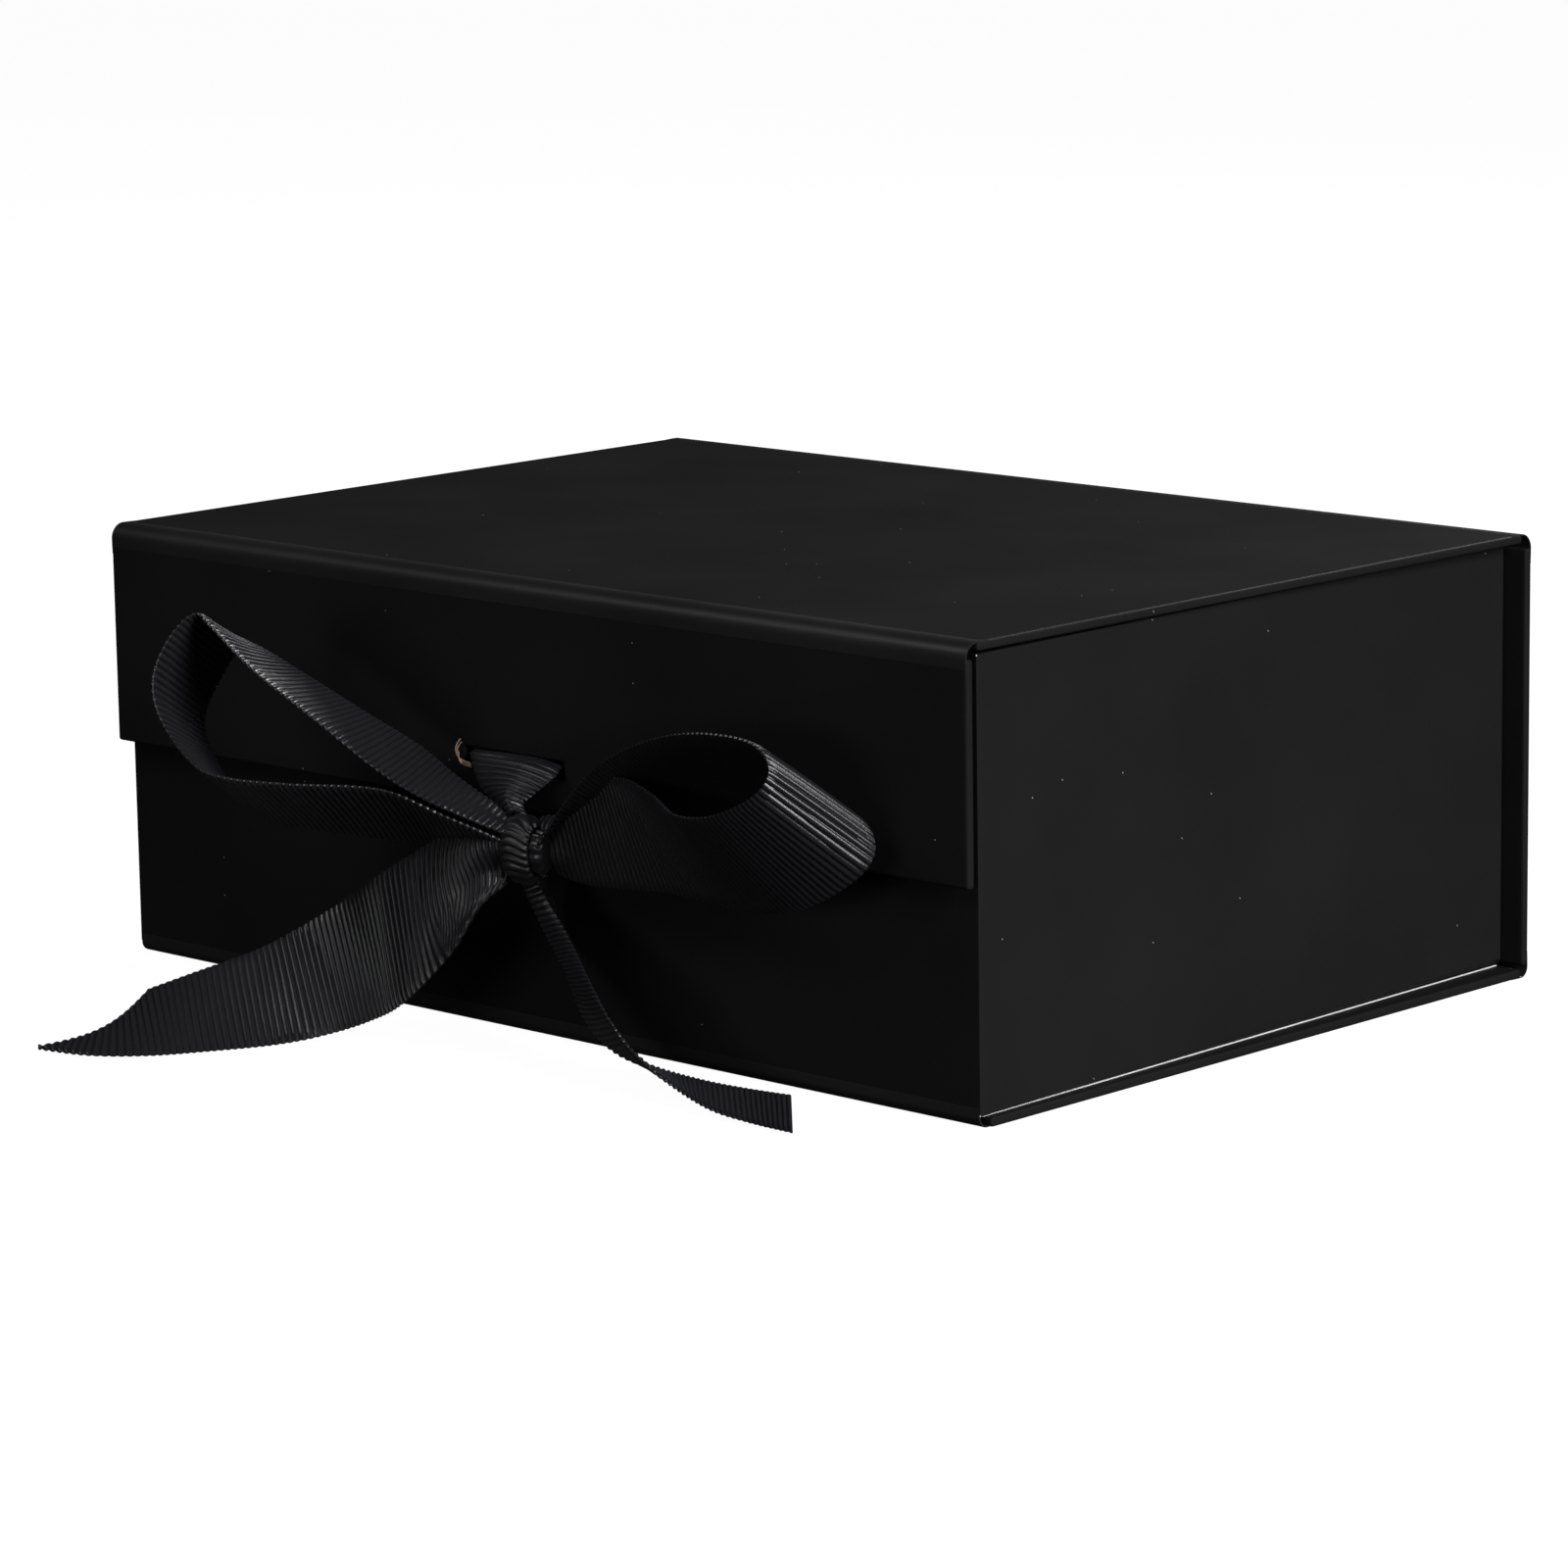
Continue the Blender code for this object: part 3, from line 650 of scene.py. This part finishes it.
def grosgrain(name, route, swell=None, slant=None, cut=0.0):
    """A ribbed ribbon between two edge curves. swell(s, length, v) raises it off the straight line
    between its edges and slant(s, length, v) bows its ribs along the ribbon, both in metres. Its
    far edge stops short by cut, where the scissors crossed it on the slant."""
    near = flowing([pair[0] for pair in route])
    far = flowing([pair[1] for pair in route])
    middle = (near + far) / 2
    run = np.concatenate([[0.0], np.cumsum(np.linalg.norm(np.diff(middle, axis=0), axis=1))])
    length = run[-1]
    rows = int(round(length / RIB_PITCH)) * RIB_STEPS
    s = np.linspace(0.0, length, rows + 1)
    near = np.stack([np.interp(s, run, near[:, k]) for k in range(3)], axis=1)
    far = np.stack([np.interp(s, run, far[:, k]) for k in range(3)], axis=1)
    place_s = np.repeat(s[:, None], ACROSS + 1, axis=1)
    even = np.linspace(-1.0, 1.0, ACROSS + 1)
    across = 0.5 + 0.5 * np.sin(even * math.pi / 2) * 0.35 + 0.5 * even * 0.65
    place_v = np.repeat(across[None, :], rows + 1, axis=0)
    if cut:
        left_over = np.clip((length - s) / cut, 0.02, 1.0)
        place_v = place_v * left_over[:, None]
    grid = near[:, None, :] * (1 - place_v[..., None]) + far[:, None, :] * place_v[..., None]
    if swell is not None:
        grid = grid + facing(grid) * swell(place_s, length, place_v)[..., None]
    phase = place_s if slant is None else place_s + slant(place_s, length, place_v)
    rib = np.abs(np.sin(np.pi * phase / RIB_PITCH))
    rim = np.minimum(across, 1 - across)[None, :] * RIBBON_WIDTH * np.ones_like(place_s)
    soft = np.clip(rim / SELVEDGE, 0.0, 1.0)
    half = RIBBON_THICKNESS / 2 * (0.55 + 0.45 * soft) + RIB_HEIGHT * rib * (0.35 + 0.65 * soft)
    edge_side = np.zeros_like(place_s)
    edge_side[:, 0] = -1.0
    edge_side[:, -1] = 1.0
    grid = grid + unit(np.gradient(grid, axis=1)) * (SELVEDGE_LOOP * rib * edge_side)[..., None]
    normal = facing(grid)
    upper = grid + normal * half[..., None]
    lower = grid - normal * half[..., None]
    count = upper.shape[0] * upper.shape[1]
    wide = upper.shape[1]
    vertices = np.vstack([upper.reshape(-1, 3), lower.reshape(-1, 3)])
    faces = []
    for i in range(rows):
        for j in range(ACROSS):
            k = i * wide + j
            faces.append((k, k + 1, k + wide + 1, k + wide))
            faces.append((count + k, count + k + wide, count + k + wide + 1, count + k + 1))
        for j in (0, ACROSS):
            k = i * wide + j
            faces.append((k, k + wide, count + k + wide, count + k))
    for j in range(ACROSS):
        for k in (j, rows * wide + j):
            faces.append((k, k + 1, count + k + 1, count + k))
    mesh = bpy.data.meshes.new(name)
    mesh.from_pydata(vertices.tolist(), [], faces)
    mesh.update()
    # The rib profile goes into the mesh as an attribute, and the material paints shade into the valleys
    # from it.
    rib_for_valley_shade = mesh.attributes.new("rib", "FLOAT", "POINT")
    rib_for_valley_shade.data.foreach_set("value", np.concatenate([rib.ravel(), rib.ravel()]).astype(np.float32))
    uv = mesh.uv_layers.new(name="ribbon")
    corner = np.empty(len(mesh.loops), dtype=np.int32)
    mesh.loops.foreach_get("vertex_index", corner)
    flat = np.stack([place_s.ravel() / RIBBON_WIDTH, place_v.ravel()], axis=1)
    uv.data.foreach_set("uv", np.vstack([flat, flat])[corner].ravel().astype(np.float32))
    obj = bpy.data.objects.new(name, mesh)
    bpy.context.scene.collection.objects.link(obj)
    return obj, length


def hang_ribbon(name, node, route, swell=None, slant=None, cut=0.0):
    piece, length = grosgrain(name, route, swell, slant, cut)
    finish(piece, name, GROSGRAIN, "flap", (node,), smooth=60.0)
    length = round(length, 4)


def gathered(s, length, ends, reach):
    """How gathered the ribbon is: 1 where it enters the knot, 0 further than the reach."""
    share = np.zeros_like(s)
    if "start" in ends:
        share = np.maximum(share, np.clip(1 - s / reach, 0, 1))
    if "end" in ends:
        share = np.maximum(share, np.clip(1 - (length - s) / reach, 0, 1))
    return share * share * (3 - 2 * share)


def ridge(v, peak):
    """A bent cross-section: 0 at both edges and 1 at the peak, softly rounded."""
    slope = np.where(v < peak, v / peak, (1 - v) / (1 - peak))
    return slope * (1.6 - 0.6 * slope)


# Leader: the ribbon comes out of the flap's slot. Its left part hangs forward with level ribs, and
# its right part is bent back along a ridge where it is gathered down to the knot.
LEADER = [
    ((-11.8, -80.6, 53.2), (12.4, -80.6, 53.6)), ((-10.6, -82.7, 54.0), (13.0, -82.4, 53.6)),
    ((-9.3, -83.9, 53.3), (13.8, -84.4, 52.6)), ((-6.2, -86.0, 51.0), (12.2, -86.2, 50.6)),
    ((-1.6, -88.2, 48.4), (10.8, -87.8, 48.9)), ((4.6, -90.0, 46.6), (10.0, -89.4, 47.4)),
    ((9.0, -91.0, 45.0), (12.2, -90.4, 45.6)),
]
hang_ribbon("ribbon_leader_cloth", "ribbon_leader", LEADER,
            swell=lambda s, length, v: 0.0026 * np.clip(s / length, 0, 1) ** 0.6 * ridge(v, 0.66),
            slant=lambda s, length, v: 0.0004 * np.sin(np.pi * v))

# Loops: each leaves the knot, goes out, turns over in a round end and comes back under itself.
# They are crowned a little across their width and gathered in pleats at the knot.
LOOP_RIGHT = [
    ((14.6, -92.6, 37.4), (13.6, -90.8, 43.4)), ((18.6, -94.0, 40.8), (16.0, -88.6, 46.0)),
    ((28.0, -95.8, 51.0), (29.0, -84.6, 46.0)), ((42.6, -99.0, 61.4), (47.0, -84.0, 48.0)),
    ((64.2, -103.0, 69.0), (71.3, -85.0, 54.0)), ((83.0, -104.3, 70.2), (91.4, -86.5, 55.1)),
    ((89.1, -105.2, 66.1), (97.4, -87.2, 51.1)), ((87.2, -106.9, 61.4), (96.4, -89.9, 45.6)),
    ((77.0, -106.7, 56.4), (84.6, -91.1, 38.4)), ((65.8, -105.0, 54.8), (72.2, -90.4, 35.5)),
    ((55.5, -100.5, 56.5), (61.4, -90.7, 35.9)), ((44.0, -96.5, 57.6), (48.6, -89.8, 36.0)),
    ((32.3, -93.5, 55.5), (34.6, -89.0, 34.8)), ((22.6, -92.0, 47.6), (23.4, -88.6, 34.4)),
    ((14.8, -92.6, 40.8), (14.8, -90.6, 37.0)),
]
LOOP_LEFT = [
    ((11.4, -95.4, 43.2), (11.0, -90.6, 44.2)), ((1.7, -104.5, 49.0), (-3.3, -92.5, 51.0)),
    ((-6.1, -110.5, 55.0), (-15.8, -91.6, 56.0)), ((-16.4, -116.5, 64.2), (-28.0, -95.1, 62.0)),
    ((-28.3, -121.3, 73.1), (-39.5, -99.4, 68.4)), ((-38.0, -122.9, 80.5), (-48.4, -102.0, 72.5)),
    ((-41.6, -123.8, 82.6), (-51.6, -103.8, 72.6)), ((-44.8, -127.2, 78.3), (-53.8, -107.2, 67.0)),
    ((-46.1, -130.5, 70.9), (-55.2, -110.4, 59.9)), ((-43.4, -131.3, 63.5), (-53.5, -110.7, 53.6)),
    ((-37.4, -129.1, 55.5), (-47.7, -109.1, 44.6)), ((-32.1, -126.1, 52.9), (-41.7, -106.8, 40.7)),
    ((-22.1, -119.6, 51.9), (-30.9, -100.5, 38.8)), ((-7.2, -109.6, 51.2), (-15.2, -93.5, 37.8)),
    ((2.3, -102.5, 46.4), (-2.9, -93.5, 38.6)), ((11.2, -95.2, 41.0), (11.0, -91.2, 38.6)),
]


def loop_swell(s, length, v):
    pleats = 0.0003 * gathered(s, length, ("start", "end"), 0.014) * np.cos(3 * np.pi * v)
    return pleats + 0.0002 * np.sin(np.pi * v)


hang_ribbon("bow_loop_right_cloth", "bow_loop_right", LOOP_RIGHT, loop_swell)
hang_ribbon("bow_loop_left_cloth", "bow_loop_left", LOOP_LEFT, loop_swell)

# Tails: each leaves the knot downwards and ends on the table. The left one swells out beside the
# knot above a lengthwise crease, and is cut on the slant. The right one is half turned over.
TAIL_LEFT = [
    ((10.6, -94.6, 33.2), (10.4, -91.6, 42.8)), ((7.0, -98.4, 28.8), (3.6, -92.8, 44.0)),
    ((2.2, -101.2, 20.0), (-4.2, -94.8, 41.2)), ((-8.6, -103.7, 9.4), (-18.4, -99.6, 32.0)),
    ((-17.7, -104.9, 4.5), (-31.0, -99.0, 24.5)), ((-25.8, -109.8, 1.4), (-41.6, -101.4, 18.0)),
    ((-29.3, -118.6, 0.8), (-46.6, -107.2, 14.4)), ((-35.2, -130.4, 0.8), (-53.7, -117.2, 10.6)),
    ((-41.0, -139.6, 0.8), (-60.4, -125.4, 7.2)), ((-49.8, -146.6, 0.8), (-66.5, -129.0, 5.0)),
    ((-61.5, -149.0, 0.8), (-73.0, -127.4, 4.4)),
]
TAIL_LEFT_CUT = 0.021
TAIL_RIGHT = [
    ((15.0, -91.6, 34.6), (12.5, -88.6, 34.2)), ((18.5, -91.0, 29.5), (8.5, -84.0, 27.6)),
    ((25.8, -93.5, 25.0), (9.5, -83.0, 20.5)), ((39.9, -101.5, 19.0), (19.6, -88.5, 14.3)),
    ((47.6, -104.7, 14.5), (27.5, -91.0, 8.3)), ((52.6, -104.1, 9.5), (33.3, -89.3, 3.6)),
    ((60.1, -103.0, 5.0), (41.8, -86.9, 1.3)), ((71.7, -104.2, 2.0), (54.1, -87.0, 0.9)),
    ((81.6, -103.7, 0.9), (64.0, -86.4, 0.9)), ((92.3, -103.8, 0.8), (75.3, -86.3, 1.4)),
]
CREASE = 0.42
SWELL_OUT = -1.0        # towards the front, away from the box


def tail_left_swell(s, length, v):
    beside_knot = gathered(s, length, ("start",), 0.024)
    bulge = np.where(v > CREASE, np.sin(np.pi * (v - CREASE) / (1 - CREASE)),
                     -0.25 * np.sin(np.pi * v / CREASE))
    return SWELL_OUT * 0.0030 * beside_knot * bulge


def tail_left_slant(s, length, v):
    beside_knot = gathered(s, length, ("start",), 0.030)
    below = 0.0100 * np.clip(CREASE - v, 0, 1) / CREASE
    above = -0.0012 * np.sin(np.pi * np.clip(v - CREASE, 0, 1) / (1 - CREASE))
    return beside_knot * (below + above)


def tail_right_swell(s, length, v):
    return SWELL_OUT * 0.0024 * gathered(s, length, ("start",), 0.050) * np.sin(1.5 * np.pi * v)


hang_ribbon("bow_tail_left_cloth", "bow_tail_left", TAIL_LEFT, tail_left_swell,
            tail_left_slant, TAIL_LEFT_CUT)
hang_ribbon("bow_tail_right_cloth", "bow_tail_right", TAIL_RIGHT, tail_right_swell)

# Knot: the ribbon wraps once over the gathered loops, squeezed to a third of its width, so it
# bulges like a small barrel and its ribs arch upwards. A pleated bunch of ribbon fills it and
# comes out of both its ends.
KNOT_MIDDLE = Vector((0.0132, -0.0922, 0.0398))
KNOT_HALF = Vector((0.0034, 0.0026, 0.0048))
KNOT_BULGE = 0.0015
KNOT_TURN = 32
knot_route = []
for turn in range(KNOT_TURN + 1):
    angle = math.pi + 2 * math.pi * turn / KNOT_TURN
    y = 1000 * (KNOT_MIDDLE.y - KNOT_HALF.y * math.cos(angle))
    z = 1000 * (KNOT_MIDDLE.z + KNOT_HALF.z * math.sin(angle))
    knot_route.append(((1000 * (KNOT_MIDDLE.x - KNOT_HALF.x), y, z),
                       (1000 * (KNOT_MIDDLE.x + KNOT_HALF.x), y, z)))
knot_band = grosgrain(
    "bow_knot_cloth", knot_route,
    swell=lambda s, length, v: -KNOT_BULGE * np.sin(np.pi * v) ** 0.7,
    slant=lambda s, length, v: 0.0012 * (2 * v - 1) ** 2)[0]
bpy.ops.object.select_all(action="DESELECT")
bpy.ops.mesh.primitive_cylinder_add(vertices=96, radius=1.0, depth=2.0, location=KNOT_MIDDLE,
                                    rotation=(0.0, math.pi / 2, 0.0))
knot_core = bpy.context.object
bpy.ops.object.transform_apply(location=False, rotation=True, scale=False)
knot_core.scale = (KNOT_HALF.x * 1.8, KNOT_HALF.y * 0.92, KNOT_HALF.z * 0.90)
bpy.ops.object.transform_apply(location=False, rotation=False, scale=True)
apply_modifier(knot_core, "BEVEL", width=0.0022, segments=8, limit_method="ANGLE")
knot_core.data.uv_layers[0].name = "ribbon"
KNOT_PLEATS = 5
# Painted shade: each vertex gets a rib value that is low in the pleats' grooves, so the material darkens
# them.
pleat_groove_shade = knot_core.data.attributes.new("rib", "FLOAT", "POINT")
for vertex in knot_core.data.vertices:
    turned = math.atan2(vertex.co.z / KNOT_HALF.z, vertex.co.y / KNOT_HALF.y)
    depth = abs(math.sin(KNOT_PLEATS * turned))
    vertex.co.y *= 0.90 + 0.10 * depth
    vertex.co.z *= 0.90 + 0.10 * depth
    pleat_groove_shade.data[vertex.index].value = 0.45 + 0.55 * depth
bpy.ops.object.transform_apply(location=True, rotation=False, scale=False)
finish(knot_core, "bow_knot_core", GROSGRAIN, "flap", ())
finish(knot_band, "bow_knot_cloth", GROSGRAIN, "flap", ("bow_knot",), smooth=60.0)
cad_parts["ribbon_anchor"].data.materials.clear()
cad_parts["ribbon_anchor"].data.materials.append(
    plain_finish("glued_ribbon_end", (0.012, 0.012, 0.014), 0.55, 0.0, 400.0, 0.3))

# Fray: a few beige threads have pulled out of the ribbon's edge at the slot's left end.
THREAD = bpy.data.materials.new("loose_thread")
THREAD.use_nodes = True
thread_shader = THREAD.node_tree.nodes["Principled BSDF"]
thread_shader.inputs["Roughness"].default_value = 0.7
thread_place = THREAD.node_tree.nodes.new("ShaderNodeTexCoord")
thread_noise = THREAD.node_tree.nodes.new("ShaderNodeTexNoise")
thread_noise.inputs["Scale"].default_value = 900.0
thread_color = THREAD.node_tree.nodes.new("ShaderNodeValToRGB")
thread_color.color_ramp.elements[0].color = (0.16, 0.10, 0.07, 1.0)
thread_color.color_ramp.elements[1].color = (0.75, 0.58, 0.46, 1.0)
THREAD.node_tree.links.new(thread_place.outputs["Object"], thread_noise.inputs["Vector"])
THREAD.node_tree.links.new(thread_noise.outputs["Fac"], thread_color.inputs["Fac"])
THREAD.node_tree.links.new(thread_color.outputs["Color"], thread_shader.inputs["Base Color"])
THREAD_PATH = [(-10.6, -83.0, 52.0), (-12.6, -83.4, 52.2), (-14.2, -83.4, 53.2),
               (-14.6, -83.1, 55.0), (-13.6, -82.7, 56.2)]
for count in range(4):
    curve = bpy.data.curves.new("fray_thread", "CURVE")
    curve.dimensions = "3D"
    curve.bevel_depth = 0.00010 - 0.000012 * count
    curve.bevel_resolution = 2
    curve.use_fill_caps = True
    line = curve.splines.new("NURBS")
    path = THREAD_PATH[:5 - count // 2]
    line.points.add(len(path) - 1)
    for k, (x, y, z) in enumerate(path):
        shift = 0.22 * count * (1 + 0.3 * k)
        line.points[k].co = ((x + shift) / 1000, (y - 0.1 * count) / 1000, (z - shift) / 1000, 1.0)
    line.use_endpoint_u = True
    line.order_u = 3
    thread = bpy.data.objects.new("fray_thread", curve)
    bpy.context.scene.collection.objects.link(thread)
    bpy.ops.object.select_all(action="DESELECT")
    bpy.context.view_layer.objects.active = thread
    thread.select_set(True)
    bpy.ops.object.convert(target="MESH")
    finish(bpy.context.object, "fray_thread_%d" % (count + 1), THREAD, "flap")
